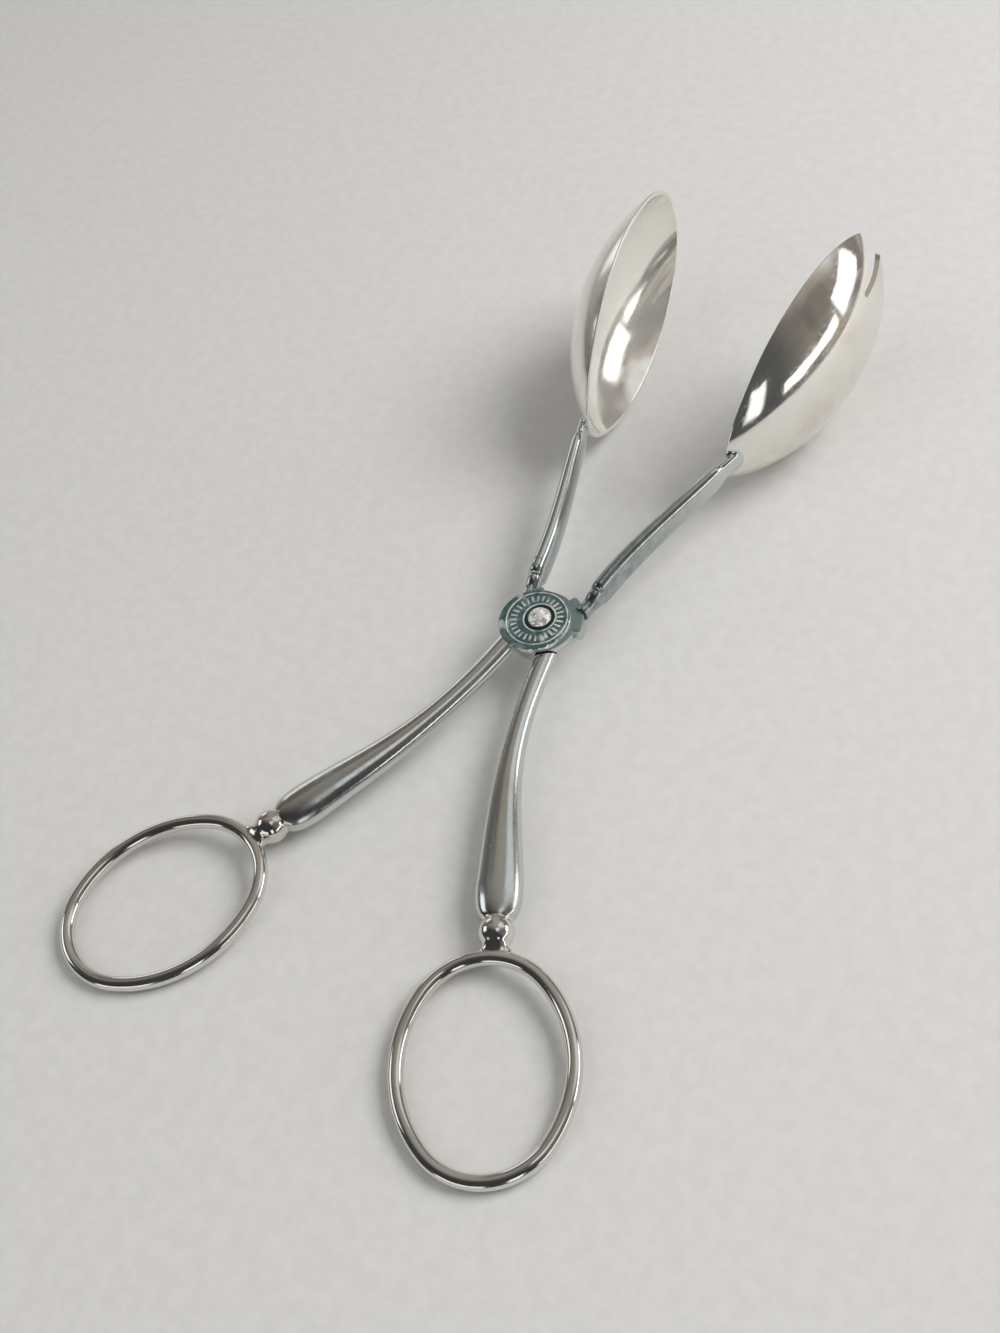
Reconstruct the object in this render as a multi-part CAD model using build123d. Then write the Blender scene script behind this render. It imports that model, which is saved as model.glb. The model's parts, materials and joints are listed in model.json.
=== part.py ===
from build123d import *
import math
import os

# Scissor serving tongs: two crossed arms on one rivet, each with an oval finger ring, a bead,
# a swelling handle, a flat hub with a raised shoulder, a shank and a deep bowl. One bowl is a
# spoon, the other has two slots that cut its tip into three tines.
# Working frame: +X from the pivot to the bowls, +Y to the spoon bowl, +Z up along the rivet.
# The lower arm has its handle at -Y and its bowl at +Y; the upper arm is its mirror image.

# Hubs and rivet
hub_radius = 8.9
hub_thickness = 2.2
hub_gap = 0.1
shoulder_radius = 10.7
shoulder_clearance = 0.35
shoulder_rise = 1.7
shoulder_round = 1.0
shoulder_edge_round = 0.45
shoulder_start_angle = 24.0
shoulder_end_angle = 87.0
rivet_radius = 1.9
rivet_fit = 0.05
rivet_head_radius = 2.9
rivet_head_height = 1.5
rivet_head_clearance = 0.08
rivet_tail_radius = 2.8
rivet_tail_height = 1.0
edge_round = 0.3

# Ornament disc on the upper hub
disc_radius = 8.9
disc_thickness = 1.3
disc_offset_x = -0.9
disc_offset_y = 1.1
disc_edge_round = 0.35
line_radius_inner = 4.0
line_radius_outer = 7.6
line_width = 0.45
line_height = 0.25
stroke_count = 28
stroke_length = 1.7
stroke_width = 0.5
stroke_height = 0.22

# Handle, from the hub to the bead
handle_root_x = 9.0
handle_root_y = 5.2
handle_root_angle = 9.5
bead_x = 74.9
bead_y = 30.9
bead_angle = 27.3
handle_bend_radius = 125.0
handle_rise_angle = 1.7
handle_root_half_width = 2.6
handle_root_half_height = 2.5
handle_belly_half_width = 5.35
handle_belly_half_height = 3.7

# Bead and finger ring
bead_radius = 4.05
bead_neck_radius = 2.9
ring_half_length = 23.7
ring_half_width = 18.7
ring_end_radius = 16.2
ring_wire_radius = 1.73
ring_angle = 32.0
ring_bearing_angle = 25.6
ring_seat_depth = 0.08
collar_half_width = 4.4
collar_half_height = 1.6

# Shank, from the hub to the bowl
shank_root_x = 10.5
shank_root_y = 8.8
shank_root_angle = 9.0
shank_tip_x = 57.2
shank_tip_y = 20.6
shank_tip_angle = 16.5
shank_bend_radius = 160.0
shank_neck_half_width = 1.75
shank_neck_half_height = 2.0
shank_half_width = 2.4
shank_half_height = 4.2
shank_tip_half_width = 2.0
shank_tip_half_height = 3.8
shank_end_half_width = 1.6
shank_end_half_height = 3.0
heel_step = 0.12

# Bowls; the heel end of the rim is placed from the shank's tip
rim_heel_x = 3.17
rim_heel_y = -0.94
rim_heel_z = -1.88
bowl_yaw_angle = 7.8
bowl_pitch_angle = 8.3
bowl_lean_angle = 1.3
bowl_dip_angle = 10.5
bowl_tip_length = 32.7
bowl_heel_length = 44.2
bowl_half_width = 23.9
bowl_depth = 14.2
bowl_wall = 1.15
rim_round = 0.3
heel_length = 11.0

# Slots and tines of the fork bowl
slot_apex_x = 10.5
slot_apex_y = 11.2
slot_apex_radius = 0.8
slot_mouth_x = 21.5
slot_inner_y = 7.2
slot_outer_y = 12.6
middle_tine_end_x = 30.2
outer_tine_round_x = 25.5
tine_round = 2.4

# Shares of the handle and shank sections: how far along, how wide, how high
handle_section_shares = (
    (0.00, 0.00, 0.00),
    (0.26, 0.02, 0.05),
    (0.44, 0.14, 0.26),
    (0.60, 0.42, 0.54),
    (0.76, 0.77, 0.84),
    (0.88, 1.00, 1.00),
)
shoulder_section_shares = (
    (0.88, 1.00, 1.00),
    (0.925, 0.99, 0.98),
    (0.960, 0.86, 0.80),
    (0.985, 0.58, 0.50),
    (1.000, 0.16, 0.12),
)
shank_neck_shares = ((0.00, 0.04), (0.040, 0.00), (0.066, 0.12), (0.088, 0.36), (0.106, 0.44), (0.120, 0.38))
shank_shoulder_shares = ((0.120, 0.38), (0.126, 0.64), (0.140, 0.86), (0.165, 0.97), (0.20, 1.00))
shank_body_shares = ((0.20, 0.00), (0.45, 0.20), (0.75, 0.65), (0.94, 1.00))
shank_end_shares = ((0.94, 0.00), (0.965, 0.16), (0.985, 0.50), (1.000, 1.00))

# Shares of the collar between bead and ring: how far along, how wide, how low
collar_section_shares = ((0.00, 0.00, 0.00), (0.22, 0.10, 0.35), (0.50, 0.55, 0.75), (1.00, 1.00, 1.00))

# How full the two ends of a bowl are; an ellipse has the round share at both ends of its curve
round_share = 0.5523
tip_fullness_share = 0.58
heel_fullness_share = 0.34

# One overrun for every cut, and the steepest tilt to look for on the table
overrun = 5.0
steepest_tilt_angle = 15.0


def oval_at(path, share, half_width, half_height):
    """One upright oval section, square to the path."""
    tangent = path.tangent_at(share)
    side = Vector(-tangent.Y, tangent.X, 0)
    return Plane(path.position_at(share), x_dir=side, z_dir=tangent) * Ellipse(half_width, half_height)


def between(start, end, share):
    return start + (end - start) * share


def bent_path(start, start_angle, end, end_angle, radius):
    """Two straight runs joined by one arc, from a start heading to an end heading."""
    a, b = math.radians(start_angle), math.radians(end_angle)
    da, db = Vector(math.cos(a), math.sin(a)), Vector(math.cos(b), math.sin(b))
    gap = end - start
    along = (gap.X * db.Y - gap.Y * db.X) / (da.X * db.Y - da.Y * db.X)
    return FilletPolyline(start, start + da * along, end, radius=radius)


def polar(radius, angle):
    return Vector(radius * math.cos(math.radians(angle)), radius * math.sin(math.radians(angle)))


# Where the upper and lower hubs lie
hub_level = hub_gap / 2 + hub_thickness / 2
hub_outside = hub_gap / 2 + hub_thickness
disc_top = hub_outside + disc_thickness


def hub_cylinder(radius, bottom, top):
    return Pos(0, 0, bottom) * Cylinder(radius, top - bottom, align=(Align.CENTER, Align.CENTER, Align.MIN))


def sector(inner, outer, bottom, top):
    """A curved block about the rivet, over the angles of the shoulder."""
    reach = 2 * outer
    mid = (shoulder_start_angle + shoulder_end_angle) / 2
    wedge = Polygon((0, 0), polar(reach, shoulder_start_angle), polar(reach, mid),
                    polar(reach, shoulder_end_angle), align=None)
    flat = (Circle(outer) & wedge) - Circle(inner)
    corners = flat.vertices().sort_by(lambda vertex: vertex.center().length)[-2:]
    flat = fillet(corners, shoulder_round)
    return Pos(0, 0, bottom) * extrude(flat, top - bottom)


def rounded_rim(block, level):
    """Round the outer edge of a curved block on its lowest or its highest face."""
    rim = block.edges().group_by(Axis.Z)[level]
    outer = rim.sort_by(lambda edge: (edge @ 0.5).X ** 2 + (edge @ 0.5).Y ** 2)[-3:]
    return fillet(outer, shoulder_edge_round)


def hub():
    """The lower arm's hub: a plate and a shoulder that rises beside the other hub."""
    plate = hub_cylinder(hub_radius, -hub_outside, -hub_gap / 2)
    plate = chamfer(plate.edges().group_by(Axis.Z)[0], edge_round)
    foot = sector(hub_radius - overrun, shoulder_radius, -hub_outside, -hub_gap / 2)
    wall = sector(hub_radius + shoulder_clearance, shoulder_radius, -hub_outside, shoulder_rise)
    return plate + rounded_rim(foot, 0) + rounded_rim(rounded_rim(wall, 0), -1)


def lower_hub():
    return hub() - hub_cylinder(rivet_radius, -hub_outside - overrun, hub_outside + overrun)


def upper_hub():
    bore = hub_cylinder(rivet_radius + rivet_fit, -hub_outside - overrun, hub_outside + overrun)
    return Rot(180, 0, 0) * hub() - bore


def disc_place(share):
    """A place between the rivet and the middle of the disc, which lies a little off the rivet."""
    return Pos(disc_offset_x * share, disc_offset_y * share, 0)


def pivot_disc():
    """The round disc on the upper hub, with two raised lines and a ring of short strokes."""
    disc = hub_cylinder(disc_radius, hub_outside, disc_top)
    disc = disc_place(1) * fillet(disc.edges().group_by(Axis.Z)[-1], disc_edge_round)
    for radius, share in ((line_radius_inner, 0), (line_radius_outer, 1 / 2)):
        line = hub_cylinder(radius + line_width / 2, disc_top - line_height, disc_top + line_height)
        line -= hub_cylinder(radius - line_width / 2, disc_top - line_width, disc_top + line_width)
        disc += disc_place(share) * line
    middle = (line_radius_inner + line_radius_outer) / 2
    for number in range(stroke_count):
        stroke = Box(stroke_length, stroke_width, 2 * stroke_height)
        turn = Rot(0, 0, 360 * number / stroke_count)
        disc += disc_place(1 / 2) * turn * Pos(middle, 0, disc_top) * stroke
    return disc - hub_cylinder(rivet_radius + rivet_fit, hub_outside - overrun, disc_top + overrun)


def dome(radius, height):
    """A shallow round cap on the plane at zero."""
    ball = (radius ** 2 + height ** 2) / (2 * height)
    cap = Pos(0, 0, height - ball) * Sphere(ball)
    return cap & Cylinder(radius, height, align=(Align.CENTER, Align.CENTER, Align.MIN))


def pivot_rivet():
    """A round pin with a domed head over the disc and a peened tail under the lower hub."""
    seat = disc_top + rivet_head_clearance
    pin = hub_cylinder(rivet_radius, -hub_outside - rivet_tail_height / 2, seat + rivet_head_height / 2)
    tail = Pos(0, 0, -hub_outside) * Rot(180, 0, 0) * dome(rivet_tail_radius, rivet_tail_height)
    return pin + Pos(0, 0, seat) * dome(rivet_head_radius, rivet_head_height) + tail


def handle_path():
    """Along the handle at +X and +Y, from inside the hub to the bead's neck."""
    start = Vector(handle_root_x, handle_root_y) - polar(hub_radius / 2, handle_root_angle)
    neck = math.sqrt(bead_radius ** 2 - bead_neck_radius ** 2)
    end = Vector(bead_x, bead_y) - polar(neck, bead_angle)
    return bent_path(start, handle_root_angle, end, bead_angle, handle_bend_radius)


def handle():
    """The swelling handle, from the hub's rim to the bead's neck."""
    path = handle_path()
    runs = []
    for low_width, low_height, shares in (
        (handle_root_half_width, handle_root_half_height, handle_section_shares),
        (bead_neck_radius, bead_neck_radius, shoulder_section_shares),
    ):
        runs.append(loft([
            oval_at(path, along, between(low_width, handle_belly_half_width, wide),
                    between(low_height, handle_belly_half_height, high))
            for along, wide, high in shares
        ]))
    return runs[0] + runs[1]


def bead():
    """A ball cut flat at its two necks."""
    neck = math.sqrt(bead_radius ** 2 - bead_neck_radius ** 2)
    round_side = ThreePointArc((-neck, bead_neck_radius), (0, bead_radius), (neck, bead_neck_radius))
    flat_sides = Polyline((neck, bead_neck_radius), (neck, 0), (-neck, 0), (-neck, bead_neck_radius))
    ball = revolve(make_face([round_side, *flat_sides.edges()]), Axis.X, 360)
    return Pos(bead_x, bead_y, 0) * Rot(0, 0, bead_angle) * ball


def oval_side_radius():
    """The radius of the long sides that meets the end arcs without a corner."""
    a, b, e = ring_half_length, ring_half_width, ring_end_radius
    return ((a - e) ** 2 + b ** 2 - e ** 2) / (2 * (b - e))


def ring_centre():
    """The ring stands off the bead so that its wire just meets the bead's round."""
    wire_seat = bead_radius + ring_wire_radius - ring_seat_depth
    return Vector(bead_x, bead_y) + polar(wire_seat + ring_half_length, ring_bearing_angle)


def finger_ring():
    """Round wire bent to an oval of four arcs."""
    end, side = ring_end_radius, oval_side_radius()
    end_offset, side_offset = ring_half_length - end, side - ring_half_width
    half_turn = math.degrees(math.atan2(side_offset, end_offset))
    section = Circle(ring_wire_radius)
    wire = None
    for turn in (0, 180):
        tip = Pos(end_offset, 0) * Rot(0, 0, -half_turn) * revolve(
            Rot(90, 0, 0) * Pos(end, 0) * section, Axis.Z, 2 * half_turn)
        long_side = Pos(0, -side_offset) * Rot(0, 0, half_turn) * revolve(
            Rot(90, 0, 0) * Pos(side, 0) * section, Axis.Z, 180 - 2 * half_turn)
        piece = Rot(0, 0, turn) * (tip + long_side)
        wire = piece if wire is None else wire + piece
    centre = ring_centre()
    return Pos(centre.X, centre.Y, 0) * Rot(0, 0, ring_angle) * wire


def ring_collar():
    """The soldered saddle between bead and ring: round at the bead, spread along the wire."""
    neck = math.sqrt(bead_radius ** 2 - bead_neck_radius ** 2)
    reach = bead_radius + ring_wire_radius - neck
    saddle = loft([
        Plane.YZ.offset(reach * along) * Ellipse(between(bead_neck_radius, collar_half_width, wide),
                                                 between(bead_neck_radius, collar_half_height, low))
        for along, wide, low in collar_section_shares
    ])
    face = Vector(bead_x, bead_y) + polar(neck, bead_angle)
    saddle = Pos(face.X, face.Y, 0) * Rot(0, 0, bead_angle) * saddle
    return largest(saddle - finger_ring())


def raise_handle(piece, side):
    """The handle side lifts towards the ring, more on the lower arm, so that both rings lie level."""
    far_end = ring_centre().X + ring_half_length * math.cos(math.radians(ring_angle))
    level_angle = math.degrees(math.atan2(hub_level, far_end))
    return Rot(0, handle_rise_angle - side * level_angle, 0) * Rot(0, 0, 180) * piece


def shank_path():
    start = Vector(shank_root_x, shank_root_y) - polar(hub_radius / 2, shank_root_angle)
    end = Vector(shank_tip_x, shank_tip_y)
    return bent_path(start, shank_root_angle, end, shank_tip_angle, shank_bend_radius)


def shank():
    """A neck with a small collar, a rounded shoulder, and a tall oval stem with a rounded end."""
    path = shank_path()
    neck = (shank_neck_half_width, shank_neck_half_height)
    full = (shank_half_width, shank_half_height)
    tip = (shank_tip_half_width, shank_tip_half_height)
    end = (shank_end_half_width, shank_end_half_height)
    whole = None
    for low, high, shares in ((neck, full, shank_neck_shares), (neck, full, shank_shoulder_shares),
                              (full, tip, shank_body_shares), (tip, end, shank_end_shares)):
        run = loft([
            oval_at(path, along, between(low[0], high[0], grown), between(low[1], high[1], grown))
            for along, grown in shares
        ])
        whole = run if whole is None else whole + run
    return whole


def bowl_plane():
    """The plane of the rim: X to the tip, Z outwards, away from the other bowl."""
    yaw, pitch = math.radians(bowl_yaw_angle), math.radians(bowl_pitch_angle)
    lean = math.radians(bowl_lean_angle)
    axis = Vector(math.cos(yaw) * math.cos(pitch), math.sin(yaw) * math.cos(pitch), math.sin(pitch))
    flat = Vector(-math.sin(yaw), math.cos(yaw), 0)
    up = axis.cross(flat)
    outwards = flat * math.cos(lean) - up * math.sin(lean)
    rim_heel = Vector(shank_tip_x, shank_tip_y) + Vector(rim_heel_x, rim_heel_y, rim_heel_z)
    return Plane(rim_heel + axis * bowl_heel_length, x_dir=axis, z_dir=outwards)


def rim_share(fullness, height):
    """How far along its half length the profile has fallen to a share of its radius."""
    low, high = 0.0, 1.0
    for _ in range(40):
        t = (low + high) / 2
        rest = 1 - t
        if rest ** 3 + 3 * rest ** 2 * t + 3 * fullness * rest * t ** 2 > height:
            low = t
        else:
            high = t
    return 3 * round_share * rest ** 2 * t + 3 * rest * t ** 2 + t ** 3


def egg(shrink):
    """Half an egg above the rim's plane, made smaller all round by the given wall."""
    radius = (bowl_half_width ** 2 + bowl_depth ** 2) / (2 * bowl_depth)
    centre = radius - bowl_depth
    dip = math.radians(bowl_dip_angle)
    body = None
    for way, length, fullness in ((1, bowl_tip_length, tip_fullness_share),
                                  (-1, bowl_heel_length, heel_fullness_share)):
        rim_height = centre * math.cos(dip) + way * length * math.sin(dip)
        rim_length = length * math.cos(dip) - way * centre * math.sin(dip)
        half = rim_length / rim_share(fullness, rim_height / radius) - shrink
        height = radius - shrink
        profile = Bezier((0, height), (half * round_share, height), (half, height * fullness), (half, 0))
        quarter = make_face([profile, Line((half, 0), (0, 0)), Line((0, 0), (0, height))])
        lobe = Rot(0, 0, 90 - way * 90) * revolve(quarter, Axis.X, 360)
        body = lobe if body is None else body + lobe
    body = Pos(0, 0, -centre) * Rot(0, bowl_dip_angle, 0) * body
    return split(body, bisect_by=Plane.XY, keep=Keep.TOP)


def bowl_shell():
    shell = egg(0) - egg(bowl_wall)
    rim = shell.edges().filter_by_position(Axis.Z, -rim_round / 2, rim_round / 2)
    return fillet(rim, rim_round)


def slot_cut(side):
    """One slot from the tip; it leaves a round end on the middle tine and a corner on the outer one."""
    past = bowl_tip_length + overrun
    apex = Vector(slot_apex_x, slot_apex_y - slot_apex_radius)
    mouth = Vector(slot_mouth_x, slot_inner_y)
    swell = (mouth - apex) * (round_share * (middle_tine_end_x - mouth.X) / (mouth.X - apex.X))
    tine_tip = Vector(middle_tine_end_x, 0)
    tine_end = Bezier(mouth, mouth + swell, tine_tip + Vector(0, slot_inner_y * round_share), tine_tip)
    sides = Polyline(
        tine_tip,
        (middle_tine_end_x, -overrun),
        (past, -overrun),
        (past, slot_outer_y + 2 * tine_round),
        (outer_tine_round_x, slot_outer_y + tine_round),
        (slot_mouth_x, slot_outer_y),
        (slot_apex_x, slot_apex_y + slot_apex_radius),
        apex,
        mouth,
    )
    outline = make_face([tine_end, *sides.edges()])
    corners = outline.vertices().filter_by_position(Axis.X, slot_apex_x, slot_apex_x)
    outline = fillet(corners, slot_apex_radius * 3 / 4)
    tool = extrude(outline, bowl_depth + overrun)
    return tool if side > 0 else mirror(tool, Plane.XZ)


def spoon_bowl():
    return bowl_plane().location * bowl_shell()


def fork_bowl():
    """The same bowl, with its tip cut into three tines; made on the spoon's side."""
    shell = bowl_shell()
    for side in (1, -1):
        shell -= slot_cut(side)
    return bowl_plane().location * shell


def heel():
    """The rounded tongue that lies on the bowl's back and meets the shank's end."""
    tip = shank_path() @ 1
    drop = scale(Sphere(heel_length), by=(
        1,
        (shank_end_half_width - heel_step) / heel_length,
        (shank_end_half_height - heel_step) / heel_length,
    ))
    drop = split(drop, bisect_by=Plane.YZ, keep=Keep.TOP)
    return Pos(tip.X, tip.Y, 0) * Rot(0, 0, shank_tip_angle) * drop


def arm_level(piece, side):
    """The lower arm's piece as built, or its mirror image at the upper arm's level."""
    if side < 0:
        return Pos(0, 0, -hub_level) * piece
    return Pos(0, 0, hub_level) * mirror(piece, Plane.XZ)


def clear_of_hubs(piece, side):
    """Leave room for the own hub, its shoulder and disc, and a clearance to the other hub."""
    own = lower_hub() if side < 0 else upper_hub()
    reach = hub_radius + shoulder_clearance
    edge = shoulder_clearance - hub_gap / 2
    core = hub_cylinder(hub_radius, -disc_top - overrun, disc_top + overrun)
    if side < 0:
        other = hub_cylinder(reach, -edge, disc_top + overrun)
    else:
        other = hub_cylinder(reach, -disc_top - overrun, edge)
        other += disc_place(1) * hub_cylinder(disc_radius, hub_outside, disc_top + overrun)
    return largest(piece - own - core - other)


def largest(piece):
    return sorted(piece.solids(), key=lambda solid: solid.volume)[-1]


def build():
    nodes = {}
    for side, name, bowl_name, bowl in ((-1, "lower", "spoon_bowl", spoon_bowl()),
                                        (1, "upper", "fork_bowl", fork_bowl())):
        solid_bowl = bowl_plane().location * egg(0)
        solid_bowl = solid_bowl if side < 0 else mirror(solid_bowl, Plane.XZ)
        shaft = arm_level(raise_handle(handle(), side), side)
        nodes[name + "_handle"] = clear_of_hubs(shaft, side)
        nodes[name + "_bead"] = arm_level(raise_handle(bead(), side), side)
        nodes[name + "_ring_collar"] = arm_level(raise_handle(ring_collar(), side), side)
        nodes[name + "_finger_ring"] = arm_level(raise_handle(finger_ring(), side), side)
        nodes[name + "_shank"] = clear_of_hubs(arm_level(shank(), side), side) - solid_bowl
        nodes[name + "_heel"] = largest(arm_level(heel(), side) - solid_bowl)
        nodes[bowl_name] = bowl if side < 0 else mirror(bowl, Plane.XZ)
    nodes["lower_hub"] = lower_hub()
    nodes["upper_hub"] = upper_hub()
    nodes["pivot_disc"] = pivot_disc()
    nodes["pivot_rivet"] = pivot_rivet()
    return nodes


def lowest(pieces, tilt):
    return min((Rot(0, -tilt, 0) * piece).bounding_box().min.Z for piece in pieces)


def resting_tilt(nodes):
    """The tilt at which the rings and the bowls touch the table together."""
    rings = [nodes["lower_finger_ring"], nodes["upper_finger_ring"]]
    bowls = [nodes["spoon_bowl"], nodes["fork_bowl"]]
    low, high = 0.0, steepest_tilt_angle
    for _ in range(20):
        tilt = (low + high) / 2
        if lowest(rings, tilt) > lowest(bowls, tilt):
            low = tilt
        else:
            high = tilt
    return tilt


def stand_on_table(nodes):
    """Tilt to the resting pose, then put the origin under the middle of the box."""
    tilt = resting_tilt(nodes)
    turned = {name: Rot(0, -tilt, 0) * piece for name, piece in nodes.items()}
    box = Compound(list(turned.values())).bounding_box()
    shift = Pos(-(box.min.X + box.max.X) / 2, -(box.min.Y + box.max.Y) / 2, -box.min.Z)
    pivot = shift * Rot(0, -tilt, 0)
    print("tilt", round(tilt, 4), "pivot", pivot.position)
    print("size", box.size)
    return {name: shift * piece for name, piece in turned.items()}


os.makedirs("parts", exist_ok=True)
for node_name, node in stand_on_table(build()).items():
    export_step(node, "parts/" + node_name + ".step")
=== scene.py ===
"""Looks, light and camera for the scissor serving tongs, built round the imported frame."""

import json
import logging
import math
from contextlib import contextmanager
from dataclasses import dataclass, field, replace
from enum import Enum
from functools import reduce
from typing import Iterator, Sequence, Union

import bpy
from mathutils import Matrix, Vector
from mathutils.kdtree import KDTree


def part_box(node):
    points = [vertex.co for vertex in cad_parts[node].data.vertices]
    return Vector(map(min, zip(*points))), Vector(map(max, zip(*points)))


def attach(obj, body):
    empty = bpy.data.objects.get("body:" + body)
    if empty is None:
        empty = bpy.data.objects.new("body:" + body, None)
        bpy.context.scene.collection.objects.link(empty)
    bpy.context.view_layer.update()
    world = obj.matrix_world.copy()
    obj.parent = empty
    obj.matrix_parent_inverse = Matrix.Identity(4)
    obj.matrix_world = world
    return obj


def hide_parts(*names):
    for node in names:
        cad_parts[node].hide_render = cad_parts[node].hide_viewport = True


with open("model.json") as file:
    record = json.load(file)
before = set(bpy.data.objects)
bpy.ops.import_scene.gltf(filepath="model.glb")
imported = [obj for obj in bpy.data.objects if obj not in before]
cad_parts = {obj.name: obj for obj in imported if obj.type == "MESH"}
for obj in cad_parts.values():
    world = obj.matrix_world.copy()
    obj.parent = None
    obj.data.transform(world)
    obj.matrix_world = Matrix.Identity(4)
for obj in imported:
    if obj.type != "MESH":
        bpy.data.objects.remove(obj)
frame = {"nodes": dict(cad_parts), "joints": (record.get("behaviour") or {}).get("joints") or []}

LOG = logging.getLogger("tongs")
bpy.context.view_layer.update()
MM = 0.001
MERGE_REACH = 0.000002
LEAST_REACH = 0.0001
SHARP_DEGREES = 38.0
SMOOTH_FACTOR = 0.5
MIX_FIRST, MIX_SECOND, MIX_RESULT = 6, 7, 2

Colour = tuple[float, float, float]
Material = bpy.types.Material
Piece = bpy.types.Object
Socket = bpy.types.NodeSocket
Value = Union[Socket, float]
Tint = Union[Socket, Colour]


def sine(degrees: float) -> float:
    """The sine of an angle in degrees."""
    return math.sin(math.radians(degrees))


def cosine(degrees: float) -> float:
    """The cosine of an angle in degrees."""
    return math.cos(math.radians(degrees))


class Arm(Enum):
    """The two arms of the tongs; the value is the side of the handle along Y."""

    LOWER = -1
    UPPER = 1

    @property
    def title(self) -> str:
        """The arm's name as the nodes and bodies begin."""
        return self.name.lower()

    @property
    def body(self) -> str:
        """The CAD body that the arm's pieces ride on."""
        return f"{self.title}_arm"

    @property
    def bowl(self) -> str:
        """The node name of the arm's bowl."""
        return "spoon_bowl" if self is Arm.LOWER else "fork_bowl"


class Slot(Enum):
    """The record's material slots."""

    SILVER = "silver_plate"
    AGED = "aged_plate"


@dataclass(frozen=True)
class PivotFrame:
    """The tongs' own frame: origin on the pivot, Z up the rivet, X to the bowls.

    Attributes:
        origin: Where the pivot lies in the row frame, in metres.
        up: The rivet's direction in the row frame.
    """

    origin: Vector
    up: Vector

    @classmethod
    def from_record(cls, joints: Sequence[dict]) -> "PivotFrame":
        """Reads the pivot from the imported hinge."""
        hinge = next(joint for joint in joints if joint["type"] == "hinge")
        return cls(Vector(hinge["pos_m"]), Vector(hinge["axis"]).normalized())

    @property
    def tilt(self) -> float:
        """How far the rivet leans back towards the rings, in radians."""
        return math.atan2(-self.up.x, self.up.z)

    @property
    def matrix(self) -> Matrix:
        """Takes the tongs' own frame to the row frame."""
        side = Vector((0, 1, 0))
        turn = Matrix((side.cross(self.up), side, self.up)).transposed()
        return Matrix.Translation(self.origin) @ turn.to_4x4()


@dataclass(frozen=True)
class Ramp:
    """A smooth step from one value to another, held at both ends.

    Attributes:
        low: The value that gives start.
        high: The value that gives end.
        start: The result at low.
        end: The result at high.
    """

    low: float
    high: float
    start: float = 0.0
    end: float = 1.0

    def lifted(self, rise: float) -> "Ramp":
        """The same step, begun that much higher."""
        return replace(self, low=self.low + rise, high=self.high + rise)


@dataclass(frozen=True)
class Mottle:
    """One noise pattern, and the step that sharpens it.

    Attributes:
        scale: Features to the metre.
        step: What its values become.
        detail: How many finer layers it has.
        rough: How strong the finer layers are.
        stir: How far the pattern is stirred.
    """

    scale: float
    step: Ramp = Ramp(0.0, 1.0)
    detail: float = 3.0
    rough: float = 0.5
    stir: float = 0.0


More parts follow.
